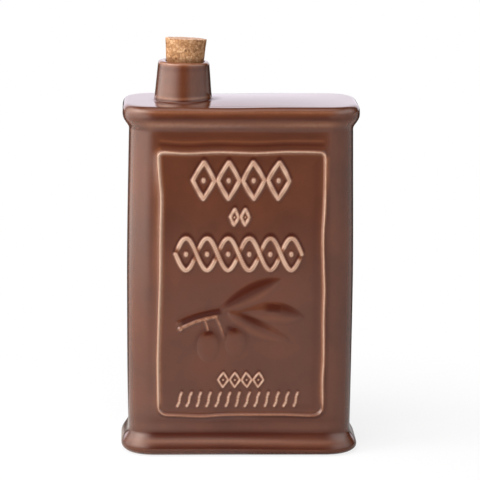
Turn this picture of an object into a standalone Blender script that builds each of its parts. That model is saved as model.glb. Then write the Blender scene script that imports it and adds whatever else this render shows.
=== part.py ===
"""Ceramic oil bottle with a cork stopper.

A slip-cast, flat-sided stoneware bottle stands on a rolled foot. A second roll runs round its
shoulder, a short neck rises from one end of the top, and a tapered cork closes the neck. The front
carries a raised frame round a slightly sunken panel. X runs across the front, Y runs from front to
back and Z runs up. The origin is the middle of the foot, on the table.
"""

import math

import bmesh
import bpy
from mathutils import Matrix, Vector

# Body, in metres
BODY_WIDTH = 0.1200
BODY_DEPTH = 0.0520
BODY_HEIGHT = 0.1854
CORNER_ACROSS = 0.0118
CORNER_DEEP = 0.0152
SHOULDER_DRAW_IN = 0.0013
FOOT_DRAW_IN = 0.0009
TOP_CROWN = 0.0014

# Roll round the shoulder: how far it stands out, its height, and its crest below the top edge. Its
# underside stays full below the crest, and its upper quarter is squarer than a circle.
SHOULDER_ROLL_PROUD = 0.0035
SHOULDER_ROLL_HEIGHT = 0.0128
SHOULDER_ROLL_CREST = 0.0046
SHOULDER_EDGE_INSET = 0.0045
SHOULDER_FULLNESS = 1.3
SHOULDER_SQUARENESS = 0.7

# Roll round the foot, with its crest above the table
FOOT_ROLL_PROUD = 0.0039
FOOT_ROLL_HEIGHT = 0.0132
FOOT_ROLL_CREST = 0.0030
FOOT_EDGE_INSET = 0.0052

# Inside of the cast body
WALL = 0.0040
BASE_THICKNESS = 0.0060
TOP_THICKNESS = 0.0045
CAVITY_ROUND = 0.0060
LEAST_CORNER = 0.0010

# Shallow hollow under the foot, which leaves a flat rim to stand on
FOOT_RIM_WIDTH = 0.0070
FOOT_HOLLOW_DEPTH = 0.0010

# Raised frame on the front and the panel inside it: the margins run from the body's sides, from
# the lower side of the shoulder roll and from the upper side of the foot roll
FRAME_SIDE_MARGIN = 0.0170
FRAME_HEAD_MARGIN = 0.0105
FRAME_FOOT_MARGIN = 0.0090
FRAME_CORNER = 0.0030
FRAME_LINE_WIDTH = 0.0016
FRAME_LINE_PROUD = 0.0008
PANEL_SUNK = 0.0004

# Neck, whose axis stands in from one side of the body: its mean wall at the lip, how far it spreads
# from the lip down to its foot, and how far its bore stands off its axis
NECK_FROM_SIDE = 0.0298
NECK_HEIGHT = 0.0204
NECK_LIP_WALL = 0.0031
NECK_SPREAD = 0.0017
NECK_FILLET = 0.0024
BORE_ASIDE = 0.0007
LIP_ROUND = 0.0016
MOUTH_ROUND = 0.0007
THROAT_FLARE = 0.0020

# Cork, which leans to the right and the back until one flank lies along the bore
CORK_TOP_RADIUS = 0.0109
CORK_BOTTOM_RADIUS = 0.0089
CORK_LENGTH = 0.0250
CORK_SHOWN = 0.01145
CORK_LEANS_TOWARDS = math.radians(55.0)
CORK_EDGE_ROUND = 0.0006
CORK_CLEARANCE = 0.0003

# How finely curves are cut
CORNER_STEPS = 6
ROLL_STEPS = 6
BODY_STEPS = 8
CROWN_STEPS = 4
ROUND_STEPS = 4
TURNED_STEPS = 48

# How deep a joined piece is rooted in the wall, and how far a cutter runs past it
OVERLAP = 0.0010


def cork_lean():
    """Half the angle of the cork's taper: leaning by it stands one flank upright."""
    return math.atan2(CORK_TOP_RADIUS - CORK_BOTTOM_RADIUS, CORK_LENGTH)


def cork_radius(height):
    """Radius of the cork at a height along its own axis, measured from the mouth."""
    seated = CORK_LENGTH - CORK_SHOWN
    share = (height + seated) / CORK_LENGTH
    return CORK_BOTTOM_RADIUS + (CORK_TOP_RADIUS - CORK_BOTTOM_RADIUS) * share


def bore_radius():
    """Bore that clears the leaning cork where it is widest in the mouth."""
    lean = cork_lean()
    widest = cork_radius(0.0) * math.cos(lean) / math.cos(2.0 * lean)
    return widest + CORK_CLEARANCE


def arc(start, end, steps):
    """Angles from start to end in equal steps, both ends included."""
    return [start + (end - start) * step / steps for step in range(steps + 1)]


def half_width(height):
    """Half the body's width: widest at mid height, drawn in towards the shoulder and the foot."""
    place = 2.0 * height / BODY_HEIGHT - 1.0
    draw_in = SHOULDER_DRAW_IN if place > 0.0 else FOOT_DRAW_IN
    return BODY_WIDTH / 2.0 - draw_in * abs(place) ** 1.5


def crown(share):
    """Height of the domed top above its edge, at a share of the way from its middle."""
    return TOP_CROWN * (1.0 - share * share)


def neck_x():
    """Place of the neck's axis across the front."""
    return NECK_FROM_SIDE - BODY_WIDTH / 2.0


def bore_x():
    """Place of the bore's axis across the front."""
    return neck_x() + BORE_ASIDE


def neck_top_height():
    """Height of the domed top where the neck stands on it."""
    return BODY_HEIGHT + crown(abs(neck_x()) / half_width(BODY_HEIGHT))


def mouth_height():
    """Height of the lip above the table."""
    return neck_top_height() + NECK_HEIGHT


def roll_profile():
    """Height and stand-out of the body's outside, from the foot's edge up to the top's edge."""
    quarter = math.pi / 2.0
    profile = []
    for angle in arc(0.0, quarter, ROLL_STEPS):
        height = FOOT_ROLL_CREST * (1.0 - math.cos(angle))
        stand_out = FOOT_ROLL_PROUD - FOOT_EDGE_INSET * (1.0 - math.sin(angle))
        profile.append((height, stand_out))
    for angle in arc(0.0, math.pi, ROLL_STEPS)[1:]:
        height = FOOT_ROLL_CREST + (FOOT_ROLL_HEIGHT - FOOT_ROLL_CREST) * angle / math.pi
        profile.append((height, FOOT_ROLL_PROUD * (1.0 + math.cos(angle)) / 2.0))
    shoulder = BODY_HEIGHT - SHOULDER_ROLL_HEIGHT
    crest = BODY_HEIGHT - SHOULDER_ROLL_CREST
    for height in arc(FOOT_ROLL_HEIGHT, shoulder, BODY_STEPS)[1:]:
        profile.append((height, 0.0))
    for below in arc(1.0, 0.0, ROLL_STEPS)[1:]:
        swell = (1.0 + math.cos(math.pi * below**SHOULDER_FULLNESS)) / 2.0
        profile.append((crest - (crest - shoulder) * below, SHOULDER_ROLL_PROUD * swell))
    for angle in arc(0.0, quarter, ROLL_STEPS)[1:]:
        rise = math.sin(angle) ** SHOULDER_SQUARENESS
        reach = max(math.cos(angle), 0.0) ** SHOULDER_SQUARENESS
        stand_out = SHOULDER_ROLL_PROUD - SHOULDER_EDGE_INSET * (1.0 - reach)
        profile.append((crest + SHOULDER_ROLL_CREST * rise, stand_out))
    return profile


def stand_out_at(height):
    """Stand-out of the outside at any height, read between the profile's points."""
    profile = roll_profile()
    for (low, low_out), (high, high_out) in zip(profile, profile[1:]):
        if low <= height <= high:
            return low_out + (high_out - low_out) * (height - low) / (high - low)
    return profile[-1][1]


def plan_ring(half_across, half_deep, corner_across, corner_deep, height):
    """One level of the body: a rectangle whose corners are quarter ellipses."""
    ring = []
    corners = ((1, 1, 0.0), (-1, 1, 0.25), (-1, -1, 0.5), (1, -1, 0.75))
    for side_x, side_y, turn in corners:
        first = turn * 2.0 * math.pi
        for angle in arc(first, first + math.pi / 2.0, CORNER_STEPS):
            x = side_x * (half_across - corner_across) + corner_across * math.cos(angle)
            y = side_y * (half_deep - corner_deep) + corner_deep * math.sin(angle)
            ring.append(Vector((x, y, height)))
    return ring


def body_ring(height, stand_out):
    """The body's plan at a height, moved out or in by stand_out all round."""
    return plan_ring(
        half_width(height) + stand_out,
        BODY_DEPTH / 2.0 + stand_out,
        max(CORNER_ACROSS + stand_out, LEAST_CORNER),
        max(CORNER_DEEP + stand_out, LEAST_CORNER),
        height,
    )


def frame_path(grow, y):
    """Rounded rectangle on the front, grow outside the middle of the raised line."""
    bottom = FOOT_ROLL_HEIGHT + FRAME_FOOT_MARGIN
    top = BODY_HEIGHT - SHOULDER_ROLL_HEIGHT - FRAME_HEAD_MARGIN
    half_across = BODY_WIDTH / 2.0 - FRAME_SIDE_MARGIN + grow
    half_up = (top - bottom) / 2.0 + grow
    radius = FRAME_CORNER + grow
    middle = (top + bottom) / 2.0
    flat = plan_ring(half_across, half_up, radius, radius, 0.0)
    return [Vector((point.x, y, middle + point.y)) for point in flat]


def loft(name, rings, ring_joined=False):
    """Closed mesh through rings of equal length: capped at both ends, or joined end to start."""
    bm = bmesh.new()
    levels = [[bm.verts.new(point) for point in ring] for ring in rings]
    pairs = list(zip(levels, levels[1:]))
    if ring_joined:
        pairs.append((levels[-1], levels[0]))
    else:
        bm.faces.new(reversed(levels[0]))
        bm.faces.new(levels[-1])
    for lower, upper in pairs:
        count = len(lower)
        for place in range(count):
            after = (place + 1) % count
            bm.faces.new((lower[place], lower[after], upper[after], upper[place]))
    return finish_mesh(name, bm)


def turned(name, profile):
    """Solid turned about Z from (radius, height) points that start and end on the axis."""
    bm = bmesh.new()
    verts = [bm.verts.new((radius, 0.0, height)) for radius, height in profile]
    edges = [bm.edges.new(pair) for pair in zip(verts, verts[1:])]
    bmesh.ops.spin(
        bm,
        geom=verts + edges,
        cent=(0.0, 0.0, 0.0),
        axis=(0.0, 0.0, 1.0),
        angle=2.0 * math.pi,
        steps=TURNED_STEPS,
        use_merge=True,
    )
    bmesh.ops.remove_doubles(bm, verts=bm.verts, dist=1e-6)
    return finish_mesh(name, bm)


def finish_mesh(name, bm):
    """Turn every face outwards, shade the mesh smooth and link it to the scene."""
    bmesh.ops.recalc_face_normals(bm, faces=bm.faces)
    mesh = bpy.data.meshes.new(name)
    bm.to_mesh(mesh)
    bm.free()
    mesh.shade_smooth()
    mesh.set_sharp_from_angle(angle=math.radians(40.0))
    obj = bpy.data.objects.new(name, mesh)
    bpy.context.scene.collection.objects.link(obj)
    return obj


def combine(target, tool, operation):
    """Cut tool from target or join it on, and keep tool as a hidden guide."""
    tool.hide_render = True
    tool.display_type = "WIRE"
    modifier = target.modifiers.new(tool.name, "BOOLEAN")
    modifier.object = tool
    modifier.operation = operation
    modifier.solver = "EXACT"


def glazed_material():
    material = bpy.data.materials.new("red_brown_glaze")
    material.use_nodes = True
    shader = material.node_tree.nodes["Principled BSDF"]
    shader.inputs["Base Color"].default_value = (0.115, 0.036, 0.018, 1.0)
    shader.inputs["Roughness"].default_value = 0.22
    shader.inputs["Metallic"].default_value = 0.0
    return material


def cork_material():
    material = bpy.data.materials.new("pressed_cork")
    material.use_nodes = True
    shader = material.node_tree.nodes["Principled BSDF"]
    shader.inputs["Base Color"].default_value = (0.50, 0.28, 0.13, 1.0)
    shader.inputs["Roughness"].default_value = 0.85
    shader.inputs["Metallic"].default_value = 0.0
    return material


def bottle_outside():
    """Body from the foot to the domed top, as levels of one plan."""
    rings = [body_ring(height, stand_out) for height, stand_out in roll_profile()]
    edge = rings[-1]
    for step in range(1, CROWN_STEPS):
        share = 1.0 - step / CROWN_STEPS
        level = BODY_HEIGHT + crown(share)
        rings.append([Vector((point.x * share, point.y * share, level)) for point in edge])
    return loft("bottle", rings)


def neck_blank():
    """Solid neck with a spreading foot and a rounded lip, sunk into the top wall."""
    quarter = math.pi / 2.0
    top = neck_top_height()
    root = top - TOP_THICKNESS / 2.0
    lip = mouth_height()
    lip_radius = bore_radius() + NECK_LIP_WALL
    foot_radius = lip_radius + NECK_SPREAD
    profile = [(0.0, root), (foot_radius + NECK_FILLET, root)]
    for angle in arc(0.0, quarter, ROUND_STEPS):
        radius = foot_radius + NECK_FILLET * (1.0 - math.sin(angle))
        profile.append((radius, top - TOP_CROWN / 2.0 + NECK_FILLET * (1.0 - math.cos(angle))))
    for angle in arc(0.0, quarter, ROUND_STEPS):
        radius = lip_radius - LIP_ROUND * (1.0 - math.cos(angle))
        profile.append((radius, lip - LIP_ROUND * (1.0 - math.sin(angle))))
    profile.append((0.0, lip))
    neck = turned("neck_blank", profile)
    neck.location.x = neck_x()
    return neck


def bore_cutter():
    """The throat: a straight bore, rounded at the mouth and flared into the cavity."""
    quarter = math.pi / 2.0
    lip = mouth_height()
    ceiling = BODY_HEIGHT - TOP_THICKNESS
    radius = bore_radius()
    profile = [(0.0, ceiling - THROAT_FLARE), (radius + THROAT_FLARE, ceiling - THROAT_FLARE)]
    for angle in arc(0.0, quarter, ROUND_STEPS):
        flare = THROAT_FLARE * (1.0 - math.sin(angle))
        profile.append((radius + flare, ceiling + THROAT_FLARE * (1.0 - math.cos(angle))))
    for angle in arc(0.0, quarter, ROUND_STEPS):
        spread = MOUTH_ROUND * (1.0 - math.cos(angle))
        profile.append((radius + spread, lip - MOUTH_ROUND * (1.0 - math.sin(angle))))
    profile.append((radius + MOUTH_ROUND, lip + OVERLAP))
    profile.append((0.0, lip + OVERLAP))
    bore = turned("bore_cutter", profile)
    bore.location.x = bore_x()
    return bore


def cavity_cutter():
    """Inside of the body: the outside moved in by the wall, rounded at its floor and ceiling."""
    floor = BASE_THICKNESS
    ceiling = BODY_HEIGHT - TOP_THICKNESS
    quarter = math.pi / 2.0
    levels = []
    for angle in arc(0.0, quarter, ROUND_STEPS):
        inset = CAVITY_ROUND * (1.0 - math.sin(angle))
        levels.append((floor + CAVITY_ROUND * (1.0 - math.cos(angle)), inset))
    for height in arc(floor + CAVITY_ROUND, ceiling - CAVITY_ROUND, BODY_STEPS)[1:]:
        levels.append((height, 0.0))
    for angle in arc(0.0, quarter, ROUND_STEPS)[1:]:
        inset = CAVITY_ROUND * (1.0 - math.cos(angle))
        levels.append((ceiling - CAVITY_ROUND * (1.0 - math.sin(angle)), inset))
    rings = [body_ring(height, stand_out_at(height) - WALL - inset) for height, inset in levels]
    return loft("cavity_cutter", rings)


def panel_cutter():
    """Block that sinks the field inside the raised frame."""
    front = -BODY_DEPTH / 2.0
    rings = [frame_path(0.0, front + PANEL_SUNK), frame_path(0.0, front - OVERLAP)]
    return loft("panel_cutter", rings)


def frame_line():
    """Raised half-round line round the panel, rooted in the wall."""
    front = -BODY_DEPTH / 2.0
    half = FRAME_LINE_WIDTH / 2.0
    root = front + OVERLAP
    rings = [frame_path(-half, root), frame_path(half, root)]
    for angle in arc(0.0, math.pi, ROUND_STEPS):
        rings.append(frame_path(half * math.cos(angle), front - FRAME_LINE_PROUD * math.sin(angle)))
    return loft("frame_line", rings, ring_joined=True)


def foot_hollow_cutter():
    """Shallow hollow under the foot, inside the flat rim."""
    inset = FOOT_ROLL_PROUD - FOOT_EDGE_INSET - FOOT_RIM_WIDTH
    below = body_ring(0.0, inset)
    above = body_ring(0.0, inset - FOOT_HOLLOW_DEPTH)
    for point in below:
        point.z = -FOOT_HOLLOW_DEPTH
    for point in above:
        point.z = FOOT_HOLLOW_DEPTH
    return loft("foot_hollow_cutter", [below, above])


def make_bottle():
    bottle = bottle_outside()
    combine(bottle, neck_blank(), "UNION")
    combine(bottle, panel_cutter(), "DIFFERENCE")
    combine(bottle, frame_line(), "UNION")
    combine(bottle, cavity_cutter(), "DIFFERENCE")
    combine(bottle, bore_cutter(), "DIFFERENCE")
    combine(bottle, foot_hollow_cutter(), "DIFFERENCE")
    bottle.data.materials.append(glazed_material())
    return bottle


def make_cork():
    """Tapered cork with softened edges, placed with its origin on its own axis in the mouth."""
    quarter = math.pi / 2.0
    bottom = CORK_SHOWN - CORK_LENGTH
    profile = [(0.0, bottom)]
    for angle in arc(0.0, quarter, ROUND_STEPS):
        height = bottom + CORK_EDGE_ROUND * (1.0 - math.cos(angle))
        profile.append((cork_radius(height) - CORK_EDGE_ROUND * (1.0 - math.sin(angle)), height))
    for angle in arc(0.0, quarter, ROUND_STEPS):
        height = CORK_SHOWN - CORK_EDGE_ROUND * (1.0 - math.sin(angle))
        profile.append((cork_radius(height) - CORK_EDGE_ROUND * (1.0 - math.cos(angle)), height))
    profile.append((0.0, CORK_SHOWN))
    cork = turned("cork_stopper", profile)
    across = Vector((-math.sin(CORK_LEANS_TOWARDS), math.cos(CORK_LEANS_TOWARDS), 0.0))
    lean = Matrix.Rotation(cork_lean(), 4, across)
    cork.matrix_world = Matrix.Translation((bore_x(), 0.0, mouth_height())) @ lean
    cork.data.materials.append(cork_material())
    return cork


def main():
    for obj in list(bpy.data.objects):
        bpy.data.objects.remove(obj, do_unlink=True)
    make_bottle()
    make_cork()


main()
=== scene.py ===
"""Ceramic oil bottle with a cork stopper, dressed for show.

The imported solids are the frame. A glazed bottle with relief on its front and a pressed-cork stopper
are built round them in the same metres, with a plain studio. X runs across the front, Y runs from
front to back and Z runs up.
"""

import math

import bpy
import numpy as np
from bpy.props import FloatProperty, FloatVectorProperty, PointerProperty
from mathutils import Matrix, Vector


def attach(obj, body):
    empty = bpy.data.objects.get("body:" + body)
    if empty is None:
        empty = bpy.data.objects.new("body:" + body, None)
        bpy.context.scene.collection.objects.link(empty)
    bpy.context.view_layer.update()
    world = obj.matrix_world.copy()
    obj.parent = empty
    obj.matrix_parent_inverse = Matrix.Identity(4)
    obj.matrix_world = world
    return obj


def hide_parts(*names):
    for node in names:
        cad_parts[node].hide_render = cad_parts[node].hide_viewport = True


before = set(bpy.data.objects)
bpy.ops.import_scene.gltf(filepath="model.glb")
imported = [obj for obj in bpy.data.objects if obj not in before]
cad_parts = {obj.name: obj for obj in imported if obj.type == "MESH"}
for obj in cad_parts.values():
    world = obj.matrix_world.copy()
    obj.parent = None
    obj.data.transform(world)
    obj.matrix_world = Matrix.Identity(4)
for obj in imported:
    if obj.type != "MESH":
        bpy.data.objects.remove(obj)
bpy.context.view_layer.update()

bl_info = {
    "name": "Ceramic oil bottle",
    "version": (1, 0, 0),
    "blender": (4, 5, 0),
    "location": "View3D > Sidebar > Oil bottle",
    "description": "Builds a glazed oil bottle with front relief, its cork stopper and a studio",
    "category": "Object",
}

MM = 0.001
QUARTER = math.pi / 2.0

# Body, in metres. The plan's straight sides end in corners a little squarer than quarter ellipses
SHOULDER_DRAW_IN = 1.3 * MM
FOOT_DRAW_IN = 0.9 * MM
SHOULDER_ROLL_CREST = 4.6 * MM
SHOULDER_EDGE_INSET = 4.5 * MM
SHOULDER_FULLNESS = 1.3
SHOULDER_SQUARENESS = 0.7
FOOT_ROLL_CREST = 3.8 * MM
FOOT_EDGE_INSET = 5.2 * MM
LEAST_CORNER = 1.0 * MM
CORNER_SQUARENESS = 2.3

# Under the foot: a flat rim round a shallow hollow, the shares of their widths that rings take,
# and how high the clay is bare, inside the rim and at the roll's edge
FOOT_RIM_WIDTH = 7.0 * MM
FOOT_HOLLOW_DEPTH = 1.0 * MM
HOLLOW_INSET = 0.5 * MM
HOLLOW_EDGE_INSET = 0.1 * MM
HOLLOW_EDGE_HEIGHT = 0.25 * MM
HOLLOW_SHARES = (0.12, 0.35, 0.62, 0.85, 0.97, 1.0)
RIM_SHARES = (0.0, 0.04, 0.5, 0.96)
BARE_HEIGHT = 1.3 * MM
BARE_AT_EDGE = 0.5 * MM

# Bands round the bottle, partly where glaze thins or gathers and partly painted highlights and
# painted shade: height in millimetres over the table or over the top edge, the band's width, and
# its share
THIN_AND_HIGHLIGHT_OVER_TABLE = ((8.0, 1.1, 0.20),)
POOL_AND_SHADE_OVER_TABLE = ((18.9, 2.3, 0.4), (11.4, 2.0, 1.0), (5.0, 0.9, 0.95), (1.6, 2.0, 0.6))
THIN_AND_HIGHLIGHT_OVER_EDGE = (
    (-2.1, 1.4, 0.27),
    (-8.9, 2.2, 0.33),
    (2.9, 1.0, 0.30),
    (6.5, 4.5, 0.13),
    (20.5, 1.1, 0.38),
)
POOL_AND_SHADE_OVER_EDGE = ((-5.7, 1.2, 0.75), (1.5, 0.7, 0.9), (17.8, 1.2, 0.35))

# The top edge sags a little near its middle, and the foot roll's flank sinks towards the right
SAG_X = -8.0 * MM
SAG_REACH = 30.0 * MM
SAG_DEPTH = 0.4 * MM
FOOT_SLUMP = 0.8 * MM
FOOT_SLUMP_FROM = -15.0 * MM
FOOT_SLUMP_TO = 45.0 * MM

# Inside, with the shares of the way that rings take over the ceiling and over the floor
WALL = 4.0 * MM
BASE_THICKNESS = 6.0 * MM
TOP_THICKNESS = 4.5 * MM
CAVITY_ROUND = 6.0 * MM
CEILING_SHARES = (0.2, 0.45, 0.7, 0.9)
FLOOR_SHARES = (0.85, 0.55, 0.2)

# Neck and cork
NECK_FROM_SIDE = 29.8 * MM
NECK_SPREAD = 1.55 * MM
NECK_FOOT_ASIDE = -0.3 * MM
NECK_FILLET = 0.9 * MM
NECK_FLARE = 0.25 * MM
NECK_FLARE_REACH = 3.6 * MM
BORE_ASIDE = 0.7 * MM
LIP_ROUND = 1.6 * MM
LIP_DROP = 0.7 * MM
MOUTH_ROUND = 0.7 * MM
THROAT_FLARE = 2.0 * MM
CORK_EDGE_ROUND = 0.6 * MM
CORK_CLEARANCE = 0.3 * MM
CORK_GRANULE = 1.9 * MM
CORK_PIT_SPACING = 3.4 * MM
CORK_CHIP_SPACING = 2.3 * MM
# Height of the painted shade on the cork's foot, where it meets the lip
CORK_SHADE_HEIGHT = 2.4 * MM

# Front panel
FRAME_SIDE_MARGIN = 16.7 * MM
FRAME_HEAD_MARGIN = 10.85 * MM
FRAME_FOOT_MARGIN = 8.8 * MM
FRAME_ASIDE = 0.5 * MM
FRAME_CORNER = 3.0 * MM
FRAME_LOW_CORNER = 4.6 * MM
FRAME_CORNER_STEPS = 5
FRAME_STEP = 4.0 * MM
FRAME_WIDTH = 0.78 * MM
FRAME_SWELL = 0.3 * MM
FRAME_SWELL_WIDTH = 2.0 * MM
PANEL_SUNK = 0.4 * MM

# How far the frame's line strays, in millimetres: outwards on the sides by height, and upwards at
# the head and the foot by the place across
STRAY_LEFT = (
    (22, 0.5), (41, 0.7), (52, 0.8), (73, 0.3), (95, -0.3),
    (121, -0.5), (137, -0.8), (148, 0.1), (162, 0.9),
)
STRAY_RIGHT = (
    (22, 0.2), (41, -0.2), (52, 0.3), (73, 0.0), (89, 0.2),
    (100, -0.2), (116, -0.7), (132, -0.1), (148, 0.2), (162, 0.0),
)
STRAY_HEAD = ((-42, 0.5), (-29, -0.35), (-13, 0.35), (7, -0.1), (23, 0.55), (42, 0.4))
STRAY_FOOT = (
    (-42, 0.6), (-29, 0.0), (-20, -0.3), (-8, 0.45), (10, 0.5), (24, 0.45), (35, 0.0), (42, 0.2)
)

# Ornament, in millimetres. A row of lozenges has its middle across and up, its count, each one's
# width and height, half its band's width, and its share of the relief's height. The braid and the
# dashes have their left and right ends, their middle up, their rise, and half their band's width
LOZENGE_ROWS = (
    (-0.2, 147.0, 4, 13.0, 19.2, 0.95, 1.0),
    (-0.8, 127.7, 2, 5.6, 8.4, 0.7, 1.0),
    (0.3, 40.7, 4, 6.2, 7.6, 0.5, 0.8),
)
LOZENGE_STEPS = 12
BRAID = (-34.2, 31.8, 108.0, 8.5, 0.95)
BRAID_TURNS = 3
BRAID_STEPS = 25
BRAID_PELLET = (1.5, 1.9)
DASHES = (-34.4, 32.0, 30.1, 7.2, 0.6)
DASH_COUNT = 13
DASH_PROUD = 0.8

# Olive sprig, in millimetres. A leaf has its two ends, its bend and half its width. dark is how
# much painted shade lies on its upper flank, belly moves its widest place, bare and last are the
# shares of its length where that shaded flank starts and ends, and deep carries it further down
LEAVES = (
    {
        "base": (-11.4, 78.0), "tip": (20.8, 94.6), "bend": -0.4, "half": 5.8,
        "dark": 1.0, "belly": 1.15, "bare": 0.0, "last": 1.15, "deep": 0.2,
    },
    {
        "base": (-2.0, 76.9), "tip": (33.4, 74.2), "bend": 1.0, "half": 6.1,
        "dark": 0.8, "belly": 1.25, "bare": 0.5, "last": 1.1, "deep": 0.0,
    },
    {
        "base": (-6.6, 77.0), "tip": (25.8, 61.6), "bend": -1.5, "half": 5.4,
        "dark": 0.95, "belly": 0.82, "bare": 0.08, "last": 0.72, "deep": -0.12,
    },
)
OLIVES = (((-17.0, 58.6), 5.9, 8.4), ((-2.6, 60.8), 5.6, 7.8))
STEM = ((-32.2, 71.0), (-27.0, 73.3), (-21.0, 75.4), (-14.0, 76.9), (-9.0, 77.6))
STEM_RIDGE = ((-31.4, 68.2), (-27.2, 70.3), (-22.2, 72.4), (-16.0, 74.0), (-12.9, 74.7))
STEM_KNOB = ((-31.5, 68.1), 1.6, 1.4)
SHORT_STALK = ((-19.0, 73.0), (-17.9, 70.9), (-17.1, 67.9))
LONG_STALK = ((-12.9, 74.6), (-10.8, 70.0), (-9.0, 65.2), (-7.8, 60.0), (-6.8, 56.5))

# Painted shade between the sprig's leaves and over its olives: line, half its width, share
SPRIG_SHADES = (
    (((10.4, 79.6), (17.0, 79.4), (24.5, 78.4)), 2.4, 0.95),
    (((-20.6, 65.2), (-16.6, 66.0), (-12.4, 66.3)), 1.3, 1.0),
    (((-8.8, 69.4), (-5.0, 68.2), (-0.4, 66.8)), 1.5, 1.0),
)

# How finely the bottle is cut: cells of about 2 mm, narrower towards the front's ends. A cell is
# cut FINE times more where the relief's slope or the glaze's change from point to point is strong
FRONT_CELLS = 48
END_NARROWING = 0.3
CORNER_CELLS = 13
SIDE_CELLS = 5
BACK_CELLS = 24
BODY_CELLS = 80
NECK_CELLS = 16
FINE = 5
BUSY_SLOPE = 0.045
BUSY_CHANGE = 0.028

# Steps of the other forms
FOOT_EDGE_STEPS = 9
FOOT_FLANK_STEPS = 14
SHOULDER_FLANK_STEPS = 16
SHOULDER_EDGE_STEPS = 13
TOP_STEPS = 14
FILLET_STEPS = 6
LIP_STEPS = 7
ROUND_STEPS = 5
THROAT_STEPS = 5
CAVITY_STEPS = 8
CORK_COLUMNS = 156
CORK_END_SHARES = (0.25, 0.5, 0.75, 0.9)
CORK_EDGE_STEPS = 4
CORK_SIDE_STEPS = 60
CORK_TOP_RINGS = 26

# How many times each pattern of the glaze and of the cork repeats in a metre
GLAZE_CLOUDS = 38.0
GLAZE_RIPPLES = 150.0
GLAZE_GRAIN = 420.0
GLAZE_SPECKS = 1500.0
CORK_WARP = 420.0
CORK_CRUMBS = 1500.0

# Studio: each lamp's name, place, size and the setting that holds its watts
LAMPS = (
    ("key_lamp", (-0.55, -0.26, 0.40), 0.35, "key_watts"),
    ("top_lamp", (-0.10, -0.45, 0.90), 0.50, "top_watts"),
    ("side_lamp", (0.60, -0.20, 0.30), 0.35, "side_watts"),
    ("rim_lamp", (-0.40, 0.04, 0.42), 0.25, "rim_watts"),
)
LAMP_AIM = (0.0, 0.0, 0.10)
FLOOR_REACH = 4.0
CLIP_NEAR = 0.05
CLIP_FAR = 20.0
WHITE = (1.0, 1.0, 1.0)
PANEL_TINT = (1.0, 0.93, 0.87)
GLARE_TINT = (1.0, 0.86, 0.77)
BACKDROP_TINT = (1.0, 0.93, 1.02)


def length(name, description, default):
    """Setting for a length in metres."""
    return FloatProperty(
        name=name,
        description=description,
        default=default,
        min=0.0,
        precision=5,
        subtype="DISTANCE",
        unit="LENGTH",
    )


def share_of(name, description, default):
    """Setting for a share from 0 to 1."""
    return FloatProperty(
        name=name, description=description, default=default, min=0.0, max=1.0, subtype="FACTOR"
    )


def amount(name, description, default):
    """Setting for a number from 0 up."""
    return FloatProperty(name=name, description=description, default=default, min=0.0)


def turn(name, description, degrees):
    """Setting for an angle, given in degrees."""
    return FloatProperty(
        name=name,
        description=description,
        default=math.radians(degrees),
        subtype="ANGLE",
        unit="ROTATION",
    )


def colour(name, description, default):
    """Setting for a colour."""
    return FloatVectorProperty(
        name=name,
        description=description,
        default=default,
        min=0.0,
        max=1.0,
        size=3,
        subtype="COLOR",
    )


class BottleShape(bpy.types.PropertyGroup):
    """Sizes of the fired bottle."""

    width: length("Width", "Width of the body between its rolls", 0.1195)
    depth: length("Depth", "Depth of the body between its rolls", 0.0520)
    height: length("Height", "Height of the body's top edge", 0.1854)
    corner_across: length("Corner across", "Corner's reach along the front", 0.0148)
    corner_deep: length("Corner deep", "Corner's reach along the side", 0.0152)
    top_crown: length("Top crown", "Rise of the domed top", 0.0014)
    shoulder_proud: length("Shoulder roll", "How far the shoulder roll stands out", 0.0035)
    shoulder_height: length("Shoulder roll height", "Height of the shoulder roll", 0.0128)
    foot_proud: length("Foot roll", "How far the foot roll stands out", 0.0039)
    foot_height: length("Foot roll height", "Height of the foot roll", 0.0125)
    neck_height: length("Neck height", "Height of the neck above the top", 0.0204)
    lip_wall: length("Lip wall", "Mean thickness of the neck's wall at the lip", 0.0031)
    line_proud: length("Frame line", "How far the raised frame stands out", 0.0006)
    relief_proud: length("Relief", "How far the ornament stands out", 0.0006)
    sway: length("Sway", "How far the hand-finished walls wander", 0.00016)


class GlazeLook(bpy.types.PropertyGroup):
    """Colours and gloss of the glaze."""

    full: colour("Glaze", "Glaze at its full thickness", (0.115, 0.036, 0.018))
    # amber and thin serve both glaze that thins over edges and painted highlights
    amber: colour("Amber glaze", "Glaze where it starts to thin", (0.24, 0.080, 0.032))
    thin: colour("Thin glaze", "Glaze where it breaks over an edge", (0.60, 0.38, 0.27))
    # pooled serves both glaze gathered in hollows and painted shade
    pooled_and_shaded: colour("Pooled glaze", "Glaze where it gathers in a hollow", (0.056, 0.0105, 0.0052))
    clay: colour("Bare clay", "Unglazed clay under the foot", (0.46, 0.30, 0.21))
    roughness: share_of("Roughness", "Roughness of the fired glaze", 0.14)


class CorkLook(bpy.types.PropertyGroup):
    """Size and colours of the cork stopper."""

    top_radius: length("Top radius", "Radius of the cork's top", 0.0109)
    bottom_radius: length("Bottom radius", "Radius of the cork's lower end", 0.0089)
    length: length("Length", "Whole length of the cork", 0.0250)
    shown: length("Shown", "Length that stands out of the mouth", 0.01145)
    leans_towards: turn("Leans towards", "Way the cork leans, from right round to back", 55.0)
    grain_size: length("Grain size", "Width of one pressed granule", 0.0017)
    light: colour("Light grain", "Palest granules", (0.59, 0.365, 0.205))
    middle: colour("Middle grain", "Common granules", (0.42, 0.215, 0.100))
    dark: colour("Dark grain", "Darkest granules and seams", (0.13, 0.050, 0.020))
    end: colour("Cut end", "Sanded top of the cork", (0.66, 0.43, 0.33))


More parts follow.
